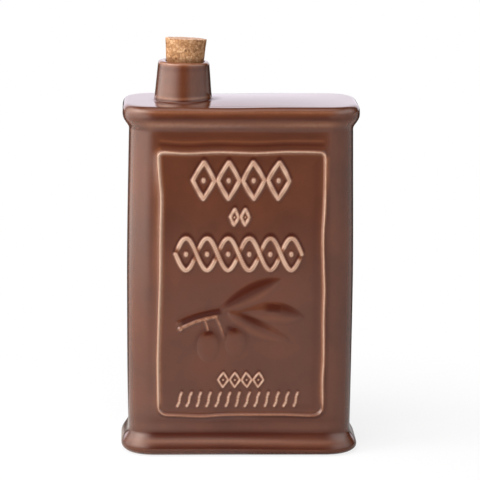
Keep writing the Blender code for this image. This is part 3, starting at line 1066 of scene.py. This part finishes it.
def lay_bands(shape, cork, points, marks):
    """Add the bands of thin glaze with painted highlights and of gathered glaze with painted shade
    to the marks, and the bare clay under the foot.
    """
    low = points[:, 2] + slump_of_foot(shape, points[:, 0], points[:, 2])
    bands = (
        ("thin", 0.0, THIN_AND_HIGHLIGHT_OVER_TABLE),
        ("pool", 0.0, POOL_AND_SHADE_OVER_TABLE),
        ("thin", shape.height, THIN_AND_HIGHLIGHT_OVER_EDGE),
        ("pool", shape.height, POOL_AND_SHADE_OVER_EDGE),
    )
    even = 1.0 - 0.6 * ramp(0.75, 0.9, np.abs(points[:, 0]) / (shape.width / 2.0))
    neck_foot = bore_radius(cork) + shape.lip_wall + NECK_SPREAD
    off_neck = np.hypot(points[:, 0] - neck_x(shape), points[:, 1]) - neck_foot
    by_neck = np.where(low > shape.height, ramp(3.5 * MM, 1.5 * MM, off_neck), 1.0)
    strength = (0.75 + 0.5 * wander(points)) * even * by_neck
    # Each band is partly glaze thinning and gathering, partly painted highlight and shade
    for mark, level, knots in bands:
        for height, width, share in knots:
            band = share * bump_at(low - level - height * MM, width * MM) * strength
            marks[mark] = np.maximum(marks[mark], np.minimum(band, 1.0))
    deep = np.abs(points[:, 1]) < shape.depth / 2.0 - 1.0 * MM
    under = ramp(BARE_HEIGHT, 0.3 * MM, low)
    marks["bare"] = np.where(deep, under, ramp(BARE_AT_EDGE, 0.1 * MM, low))


def bottle_mesh(shape, cork):
    """Points, faces and glaze marks of the bottle, cut finer where the front has relief."""
    columns = plan_columns()
    count = len(columns)
    rings, body_start = bottle_rings(shape, cork, columns)
    points = np.concatenate(rings)
    field, raised, thin, pool = front_field(shape)
    busy = busy_cells(field, raised, thin, pool)
    number = np.full(raised.shape, -1)
    coarse_row = (body_start + np.arange(BODY_CELLS + 1)) * count
    number[::FINE, ::FINE] = coarse_row[:, None] + np.arange(FRONT_CELLS + 1)[None, :]
    fresh = np.zeros(raised.shape, bool)
    for row, place in zip(*np.nonzero(busy)):
        fresh[fine_span(row), fine_span(place)] = True
    fresh &= number < 0
    number[fresh] = len(points) + np.arange(int(fresh.sum()))
    points = np.concatenate((points, field[fresh]))
    known = number >= 0
    points[number[known]] = field[known]
    faces = []
    for row in range(len(rings) - 1):
        panel_row = row - body_start
        on_body = 0 <= panel_row < BODY_CELLS
        for place in range(count):
            if on_body and place < FRONT_CELLS:
                faces += cell_faces(number, busy[panel_row, place], panel_row, place)
            else:
                faces.append(side_face(row * count, place, count))
    faces += end_fans(len(points), (len(rings) - 1) * count, count)
    points = np.vstack((points, rings[0].mean(axis=0), rings[-1].mean(axis=0)))
    marks = {"thin": np.zeros(len(points)), "pool": np.zeros(len(points))}
    marks["thin"][number[known]] = thin[known]
    marks["pool"][number[known]] = pool[known]
    lay_bands(shape, cork, points, marks)
    return points, faces, marks


def cell_faces(number, busy, row, place):
    """Faces of one cell of the front: small squares, or one face with its neighbours' cuts."""
    block = number[fine_span(row), fine_span(place)]
    if busy:
        corners = (block[:-1, :-1], block[:-1, 1:], block[1:, 1:], block[1:, :-1])
        return list(zip(*(corner.ravel().tolist() for corner in corners)))
    border = np.concatenate((block[0, :-1], block[:-1, -1], block[-1, :0:-1], block[:0:-1, 0]))
    return [tuple(border[border >= 0].tolist())]


def add_piece(name, points, faces, marks, material):
    """Smooth mesh object with its marks stored point by point."""
    mesh = bpy.data.meshes.new(name)
    mesh.from_pydata(points.tolist(), [], faces)
    for mark, values in marks.items():
        layer = mesh.attributes.new(mark, "FLOAT", "POINT")
        layer.data.foreach_set("value", np.asarray(values, np.float32))
    mesh.materials.append(material)
    mesh.shade_smooth()
    obj = bpy.data.objects.new(name, mesh)
    bpy.context.scene.collection.objects.link(obj)
    return obj


def scattered_cells(points, size, seed):
    """Distance to the nearest and second nearest of seeds scattered in a lattice."""
    base = np.floor(points / size).astype(int)
    nearest = np.full(len(points), 9.0)
    second = np.full(len(points), 9.0)
    for step_x in (-1, 0, 1):
        for step_y in (-1, 0, 1):
            for step_z in (-1, 0, 1):
                cell = base + (step_x, step_y, step_z)
                hashed = cell @ np.array((127.1, 311.7, 74.7)) + seed
                turned = hashed[:, None] + (0.0, 2.1, 4.3)
                jitter = np.sin(turned) * 43758.5453
                seeds = (cell + jitter - np.floor(jitter)) * size
                distance = np.linalg.norm(points - seeds, axis=1)
                closer = distance < nearest
                second = np.where(closer, nearest, np.minimum(second, distance))
                nearest = np.where(closer, distance, nearest)
    return nearest, second


def cork_profile(cork):
    """Radii and heights of the cork's rings from its lower end up to its top, and its top's rim."""
    bottom = cork.shown - cork.length
    profile = [(share * cork_radius(cork, bottom), bottom) for share in CORK_END_SHARES]
    for angle in arc(0.0, QUARTER, CORK_EDGE_STEPS):
        height = bottom + CORK_EDGE_ROUND * (1.0 - math.cos(angle))
        radius = cork_radius(cork, height) - CORK_EDGE_ROUND * (1.0 - math.sin(angle))
        profile.append((radius, height))
    side = profile[-1][1]
    top = cork.shown - CORK_EDGE_ROUND
    for step in range(1, CORK_SIDE_STEPS):
        height = side + (top - side) * step / CORK_SIDE_STEPS
        profile.append((cork_radius(cork, height), height))
    for angle in arc(0.0, QUARTER, CORK_EDGE_STEPS):
        height = top + CORK_EDGE_ROUND * math.sin(angle)
        radius = cork_radius(cork, height) - CORK_EDGE_ROUND * (1.0 - math.cos(angle))
        profile.append((radius, height))
    rim = profile[-1][0]
    profile += [(rim * share, cork.shown) for share in np.linspace(0.97, 0.05, CORK_TOP_RINGS)]
    return profile, rim


def cork_mesh(shape, cork):
    """Tapered cork with pressed granules, seams, pits, chipped edges and painted shade on its foot.
    """
    profile, rim = cork_profile(cork)
    bottom = profile[0][1]
    top = cork.shown - CORK_EDGE_ROUND
    angles = np.arange(CORK_COLUMNS) * 2.0 * math.pi / CORK_COLUMNS
    rings = []
    for radius, height in profile:
        level = np.full(CORK_COLUMNS, height)
        rings.append(np.stack((np.cos(angles) * radius, np.sin(angles) * radius, level), -1))
    points = np.concatenate(rings + [np.array(((0.0, 0.0, bottom), (0.0, 0.0, cork.shown)))])
    radial = np.hypot(points[:, 0], points[:, 1])
    flat_top = ramp(top + 0.2 * MM, cork.shown, points[:, 2])
    flat_low = ramp(bottom + 0.4 * MM, bottom, points[:, 2])
    sideways = (1.0 - flat_top) * (1.0 - flat_low)
    outward = points * (1.0, 1.0, 0.0) / np.maximum(radial, 1e-6)[:, None] * sideways[:, None]
    outward[:, 2] = flat_top - flat_low
    nearest, second = scattered_cells(points, CORK_GRANULE, 5.0)
    seam = bump_at(second - nearest, 0.16 * MM)
    hollow, _ = scattered_cells(points, CORK_PIT_SPACING, 11.0)
    pit = ramp(0.85 * MM, 0.35 * MM, hollow)
    worn, _ = scattered_cells(points, CORK_CHIP_SPACING, 23.0)
    # Painted shade on the cork's foot, where it meets the lip
    damp = ramp(CORK_SHADE_HEIGHT, 0.2 * MM, points[:, 2])
    edge = bump_at(points[:, 2] - cork.shown, 0.9 * MM) * bump_at(radial - rim, 0.9 * MM)
    chip = edge * ramp(1.3 * MM, 0.5 * MM, worn)
    depth = 0.07 * seam + 0.42 * pit + 0.5 * chip
    depth += 0.05 * (np.sin(points[:, 0] * 900.0 + 1.0) * np.sin(points[:, 2] * 760.0) + 1.0)
    points = points - outward * (depth * MM)[:, None]
    place = Matrix.Translation((neck_x(shape) + BORE_ASIDE, 0.0, mouth_height(shape)))
    hinge = Vector((-math.sin(cork.leans_towards), math.cos(cork.leans_towards), 0.0))
    matrix = np.array(place @ Matrix.Rotation(cork_lean(cork), 4, hinge))
    points = points @ matrix[:3, :3].T + matrix[:3, 3]
    faces = []
    for row in range(len(rings) - 1):
        for step in range(CORK_COLUMNS):
            faces.append(side_face(row * CORK_COLUMNS, step, CORK_COLUMNS))
    faces += end_fans(len(points) - 2, (len(rings) - 1) * CORK_COLUMNS, CORK_COLUMNS)
    marks = {"pit": np.maximum(pit, chip * 0.6), "end": flat_top, "damp": damp}
    return points, faces, marks


class Value:
    """One output of a node; arithmetic on it adds Math nodes."""

    def __init__(self, graph, socket):
        self.graph = graph
        self.socket = socket

    def math(self, operation, *values):
        inputs = dict(enumerate((self,) + values))
        return self.graph.add("Math", {"operation": operation}, inputs)["Value"]

    def __add__(self, other):
        return self.math("ADD", other)

    __radd__ = __add__

    def __mul__(self, other):
        return self.math("MULTIPLY", other)

    __rmul__ = __mul__

    def __sub__(self, other):
        return self.math("SUBTRACT", other)

    def __rsub__(self, other):
        return (self * -1.0) + other

    def step(self, start, end):
        """Smooth step from 0 at start to 1 at end."""
        settings = {"interpolation_type": "SMOOTHSTEP"}
        inputs = {"Value": self, "From Min": start, "From Max": end}
        return self.graph.add("MapRange", settings, inputs)["Result"]


class Graph:
    """Node tree of a material or the world, and the one way to add a node to it."""

    def __init__(self, tree):
        tree.nodes.clear()
        self.tree = tree

    def add(self, kind, settings=None, inputs=None):
        """Add a node, set it up, then give its sockets their values or links."""
        node = self.tree.nodes.new("ShaderNode" + kind)
        for key, value in (settings or {}).items():
            if key == "stops":
                set_stops(node.color_ramp, value)
            else:
                setattr(node, key, value)
        for key, value in (inputs or {}).items():
            if isinstance(value, Value):
                self.tree.links.new(value.socket, node.inputs[key])
            else:
                node.inputs[key].default_value = value
        return {socket.name: Value(self, socket) for socket in node.outputs if socket.enabled}

    def mix(self, share, first, second):
        """Colour between two colours."""
        inputs = {0: share, 6: opaque(first), 7: opaque(second)}
        return self.add("Mix", {"data_type": "RGBA"}, inputs)["Result"]

    def mark(self, name):
        """A value stored point by point in the mesh."""
        return self.add("Attribute", {"attribute_name": name})["Fac"]

    def noise(self, place, scale, detail, roughness=0.5):
        """Soft noise from 0 to 1."""
        inputs = {"Vector": place, "Scale": scale, "Detail": detail, "Roughness": roughness}
        return self.add("TexNoise", {}, inputs)["Fac"]


def set_stops(ramp_data, stops):
    """Give a colour ramp its places and colours."""
    while len(ramp_data.elements) < len(stops):
        ramp_data.elements.new(1.0)
    for element, (place, tint) in zip(ramp_data.elements, stops):
        element.position = place
        element.color = opaque(tint)


def with_nodes(store, name):
    """A new material or world, and the graph of its empty node tree."""
    owner = store.new(name)
    owner.use_nodes = True
    return owner, Graph(owner.node_tree)


def opaque(value):
    """A colour with its fourth number, or a link as it is."""
    return value if isinstance(value, Value) else (*tuple(value)[:3], 1.0)


def glaze_material(look):
    """Glossy red-brown glaze: tan where it thins and where highlights are painted, dark where it
    pools and where shade is painted, bare clay at the foot.
    """
    material, graph = with_nodes(bpy.data.materials, "red_brown_glaze")
    place = graph.add("TexCoord")["Object"]
    broad = graph.noise(place, GLAZE_CLOUDS, 3.0)
    fine = graph.noise(place, GLAZE_GRAIN, 3.0, 0.6)
    speck = graph.noise(place, GLAZE_SPECKS, 1.0)
    thin = graph.mark("thin")
    pool = graph.mark("pool")
    bare = graph.mark("bare")
    above_table = graph.add("SeparateXYZ", {}, {"Vector": place})["Z"]
    full = np.array(look.full)
    warm = full * (1.12, 1.10, 1.05)
    cool = full * (0.88, 0.90, 0.95)
    body = graph.mix(broad.step(0.3, 0.7), cool, warm)
    body = graph.mix(speck.step(0.66, 0.78) * 0.35, body, full * 0.45)
    # The pool mark is partly glaze gathered in hollows and partly painted shade
    body = graph.mix(pool * 0.9, body, look.pooled_and_shaded)
    # The thin mark is partly glaze breaking over edges and partly painted highlight
    edge = thin * (0.80 + fine * 0.4)
    glaze = graph.mix(edge.step(0.0, 0.45), body, look.amber)
    glaze = graph.mix(edge.step(0.20, 0.95), glaze, look.thin)
    clay = graph.mix(fine, np.array(look.clay) * 0.8, np.array(look.clay) * 1.15)
    tint = graph.mix(bare, glaze, clay)
    rough = (fine * 0.08 + (look.roughness - 0.04)) * (1.0 - bare) + bare * 0.85
    under_roll = above_table.step(5.8 * MM, 8.6 * MM) * 0.65 + 0.35
    ripple = graph.noise(place, GLAZE_RIPPLES, 2.0)
    skin = ripple * 0.8 + fine * 0.12 + bare * fine * 0.8
    relief = graph.add("Bump", {}, {"Strength": 0.16, "Distance": 0.22 * MM, "Height": skin})
    shader = graph.add(
        "BsdfPrincipled",
        {},
        {
            "Base Color": tint,
            "Roughness": rough,
            "IOR": 1.5,
            "Coat Weight": (1.0 - bare) * (1.0 - pool * 0.9) * under_roll,
            "Coat Roughness": 0.045,
            "Coat IOR": 1.6,
            "Normal": relief["Normal"],
        },
    )
    graph.add("OutputMaterial", {}, {"Surface": shader["BSDF"]})
    return material


def cork_material(look):
    """Pressed cork: granules of several browns between dark seams, with open pores."""
    material, graph = with_nodes(bpy.data.materials, "pressed_cork")
    place = graph.add("TexCoord")["Object"]
    inputs = {"Vector": place, "Scale": CORK_WARP, "Detail": 2.0}
    warp = graph.add("TexNoise", {}, inputs)["Color"]
    shift = graph.add("VectorMath", {"operation": "SCALE"}, {0: warp, "Scale": 1.1 * MM})["Vector"]
    bent = graph.add("VectorMath", {"operation": "ADD"}, {0: place, 1: shift})["Vector"]
    scale = 1.0 / look.grain_size
    grains = graph.add("TexVoronoi", {}, {"Vector": bent, "Scale": scale})
    settings = {"feature": "DISTANCE_TO_EDGE"}
    gap = graph.add("TexVoronoi", settings, {"Vector": bent, "Scale": scale})["Distance"]
    shade = graph.add("SeparateColor", {}, {"Color": grains["Color"]})["Red"]
    crumbs = graph.noise(place, CORK_CRUMBS, 3.0, 0.65)
    pores = graph.add("TexVoronoi", {}, {"Vector": bent, "Scale": scale * 2.3})["Distance"]
    stops = (
        (0.0, look.dark),
        (0.16, np.array(look.middle) * 0.72),
        (0.45, look.middle),
        (0.78, np.array(look.middle) * 0.4 + np.array(look.light) * 0.6),
        (1.0, look.light),
    )
    tone = shade * 0.78 + crumbs * 0.34 - 0.06
    body = graph.add("ValToRGB", {"stops": stops}, {"Fac": tone})["Color"]
    seam = 1.0 - gap.step(0.0, 0.11)
    body = graph.mix(seam * 0.55, body, np.array(look.dark) * 1.4)
    pore = pores.step(0.22, 0.12) * crumbs.step(0.5, 0.62)
    body = graph.mix(pore * 0.8, body, np.array(look.dark) * 0.7)
    body = graph.mix(graph.mark("pit") * 0.75, body, np.array(look.dark) * 0.85)
    body = graph.mix(graph.mark("end") * 0.7, body, look.end)
    # Painted shade at the cork's foot
    body = graph.mix(graph.mark("damp") * 0.55, body, look.dark)
    height = gap.step(0.0, 0.2) * 0.5 + crumbs * 0.5 - pore * 0.6
    relief = graph.add("Bump", {}, {"Strength": 0.5, "Distance": 0.3 * MM, "Height": height})
    shader = graph.add(
        "BsdfPrincipled",
        {},
        {
            "Base Color": body,
            "Roughness": crumbs * 0.2 + 0.72,
            "IOR": 1.4,
            "Specular IOR Level": 0.3,
            "Normal": relief["Normal"],
        },
    )
    graph.add("OutputMaterial", {}, {"Surface": shader["BSDF"]})
    return material


def floor_material(studio):
    """Pale floor: matt to light, white to the camera, and glowing as a painted reflection in the
    gloss.
    """
    material, graph = with_nodes(bpy.data.materials, "pale_floor")
    place = graph.add("TexCoord")["Object"]
    ray = graph.add("LightPath")
    seen = ray["Is Camera Ray"]
    glossy = ray["Is Glossy Ray"]
    reach = graph.add("VectorMath", {"operation": "LENGTH"}, {0: place})["Value"]
    way = graph.add("VectorMath", {"operation": "NORMALIZE"}, {0: place})["Vector"]
    axes = graph.add("SeparateXYZ", {}, {"Vector": way})
    # Where the floor lies in the gloss, seen from the bottle
    near = reach.step(0.085, 0.06)
    far = reach.step(0.38, 0.82)
    left = axes["X"].step(-0.06, -0.66)
    left_far = reach.step(0.25, 0.80)
    right = axes["X"].step(0.02, 0.36)
    behind = axes["Y"].step(0.50, 0.80) * (1.0 - axes["Y"].step(0.93, 0.975))
    # How brightly it glows there in the gloss, as a painted reflection
    front = 0.30 - far * 0.29 + near * 0.25
    level = front + left * (left_far * 0.60 + 0.65 - front)
    level = level + right * (0.32 - level)
    level = level * (1.0 - behind * 0.95)
    warm = graph.mix(left * glossy, WHITE, PANEL_TINT)
    matt = graph.add("BsdfDiffuse", {}, {"Color": opaque(studio.floor)})["BSDF"]
    strength = seen + glossy * level
    glow = graph.add("Emission", {}, {"Color": warm, "Strength": strength})["Emission"]
    white = seen * (reach.step(0.07, 0.26) * 0.2 + 0.8)
    shown = graph.add("MixShader", {}, {0: white + glossy, 1: matt, 2: glow})["Shader"]
    graph.add("OutputMaterial", {}, {"Surface": shown})
    return material


def studio_world(studio):
    """White to the camera; in the gloss a backdrop and soft panels on the left, right and above."""
    world, graph = with_nodes(bpy.data.worlds, "soft_studio")
    towards = graph.add("TexCoord")["Generated"]
    ray = graph.add("LightPath")
    seen = ray["Is Camera Ray"]
    glossy = ray["Is Glossy Ray"]
    axes = graph.add("SeparateXYZ", {}, {"Vector": towards})
    across = axes["X"]
    deep = axes["Y"]
    up = axes["Z"]
    low = up.step(0.95, 0.60)
    ahead = deep.step(0.30, -0.30) * up.step(0.12, 0.30)
    behind = deep.step(0.70, 0.84) * up.step(0.64, 0.52)
    left = across.step(-0.08, -1.0) * deep.step(0.90, 0.25) * low
    glare = across.step(0.05, -0.75) * deep.step(0.30, -0.40)
    glare = glare * up.step(0.07, 0.40) * up.step(0.92, 0.72)
    right = across.step(0.04, 0.70) * deep.step(0.60, -0.10)
    right = right * low * (up.step(0.04, 0.20) * 0.5 + 0.5)
    above = (up * 0.966 - deep * 0.26).step(0.82, 0.97)
    light = behind * studio.backdrop + left * studio.left_panel + glare * studio.glare
    light = light + right * studio.right_panel + above * studio.overhead + ahead * studio.ahead
    strength = seen + light * glossy + (1.0 - seen) * (1.0 - glossy) * studio.room
    tint = graph.mix(behind * glossy, WHITE, BACKDROP_TINT)
    tint = graph.mix(left * glossy, tint, PANEL_TINT)
    tint = graph.mix(glare * glossy, tint, GLARE_TINT)
    back = graph.add("Background", {}, {"Color": tint, "Strength": strength})
    graph.add("OutputWorld", {}, {"Surface": back["Background"]})
    return world


def add_lamp(name, place, size, watts):
    """Soft square lamp that lights the object without showing in its gloss."""
    data = bpy.data.lights.new(name, "AREA")
    data.shape = "SQUARE"
    data.size = size
    data.energy = watts
    lamp = bpy.data.objects.new(name, data)
    lamp.location = place
    lamp.rotation_mode = "QUATERNION"
    lamp.rotation_quaternion = (Vector(LAMP_AIM) - Vector(place)).to_track_quat("-Z", "Y")
    lamp.visible_glossy = False
    lamp.visible_camera = False
    bpy.context.scene.collection.objects.link(lamp)


def add_camera(scene, studio):
    """Camera at its place, aimed and rolled about its line of sight."""
    data = bpy.data.cameras.new("camera")
    data.lens = studio.lens
    data.clip_start = CLIP_NEAR
    data.clip_end = CLIP_FAR
    camera = bpy.data.objects.new("camera", data)
    sight = Vector(studio.aim) - Vector(studio.camera_place)
    straight = sight.to_track_quat("-Z", "Y").to_matrix()
    turned = Matrix.Rotation(studio.roll, 3, sight) @ straight
    camera.matrix_world = Matrix.Translation(studio.camera_place) @ turned.to_4x4()
    scene.collection.objects.link(camera)
    scene.camera = camera


class OILBOTTLE_OT_glazed_bottle(bpy.types.Operator):
    """Build the glazed bottle with its front relief"""

    bl_idname = "oilbottle.glazed_bottle"
    bl_label = "Glazed bottle"

    def execute(self, context):
        scene = context.scene
        points, faces, marks = bottle_mesh(scene.bottle_shape, scene.cork_look)
        material = glaze_material(scene.glaze_look)
        piece = add_piece("bottle_glazed", points, faces, marks, material)
        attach(piece, "body")
        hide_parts("bottle")
        return {"FINISHED"}


class OILBOTTLE_OT_cork_stopper(bpy.types.Operator):
    """Build the pressed-cork stopper in the neck"""

    bl_idname = "oilbottle.cork_stopper"
    bl_label = "Cork stopper"

    def execute(self, context):
        scene = context.scene
        points, faces, marks = cork_mesh(scene.bottle_shape, scene.cork_look)
        piece = add_piece("cork_pressed", points, faces, marks, cork_material(scene.cork_look))
        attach(piece, "stopper")
        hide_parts("cork_stopper")
        return {"FINISHED"}


class OILBOTTLE_OT_studio(bpy.types.Operator):
    """Set up the floor, the soft light and the camera"""

    bl_idname = "oilbottle.studio"
    bl_label = "Studio"

    def execute(self, context):
        scene = context.scene
        studio = scene.studio_setup
        corners = [(x, y, 0.0) for x, y in ((-1, -1), (1, -1), (1, 1), (-1, 1))]
        points = np.array(corners) * FLOOR_REACH
        floor = add_piece("floor", points, [(0, 1, 2, 3)], {}, floor_material(studio))
        scene.world = studio_world(studio)
        for name, place, size, watts in LAMPS:
            add_lamp(name, place, size, getattr(studio, watts))
        add_camera(scene, studio)
        scene.view_settings.view_transform = "Standard"
        return {"FINISHED"}


class OILBOTTLE_PT_sidebar(bpy.types.Panel):
    """Lists the pieces and their sizes"""

    bl_label = "Oil bottle"
    bl_idname = "OILBOTTLE_PT_sidebar"
    bl_space_type = "VIEW_3D"
    bl_region_type = "UI"
    bl_category = "Oil bottle"

    def draw(self, context):
        scene = context.scene
        groups = (
            (OILBOTTLE_OT_glazed_bottle, (scene.bottle_shape, scene.glaze_look)),
            (OILBOTTLE_OT_cork_stopper, (scene.cork_look,)),
            (OILBOTTLE_OT_studio, (scene.studio_setup,)),
        )
        for operator, settings in groups:
            box = self.layout.box()
            box.operator(operator.bl_idname)
            for group in settings:
                for key in group.__annotations__:
                    box.prop(group, key)


GROUPS = {
    "bottle_shape": BottleShape,
    "glaze_look": GlazeLook,
    "cork_look": CorkLook,
    "studio_setup": StudioSetup,
}
CLASSES = (
    *GROUPS.values(),
    OILBOTTLE_OT_glazed_bottle,
    OILBOTTLE_OT_cork_stopper,
    OILBOTTLE_OT_studio,
    OILBOTTLE_PT_sidebar,
)


def register():
    """Register the classes and hang their settings on the scene."""
    for cls in CLASSES:
        bpy.utils.register_class(cls)
    for name, group in GROUPS.items():
        setattr(bpy.types.Scene, name, PointerProperty(type=group))


def unregister():
    """Take back what register did."""
    for name in GROUPS:
        delattr(bpy.types.Scene, name)
    for cls in reversed(CLASSES):
        bpy.utils.unregister_class(cls)


def main():
    """Build the bottle, its stopper and the studio."""
    register()
    bpy.ops.oilbottle.glazed_bottle()
    bpy.ops.oilbottle.cork_stopper()
    bpy.ops.oilbottle.studio()


if __name__ == "__main__":
    main()
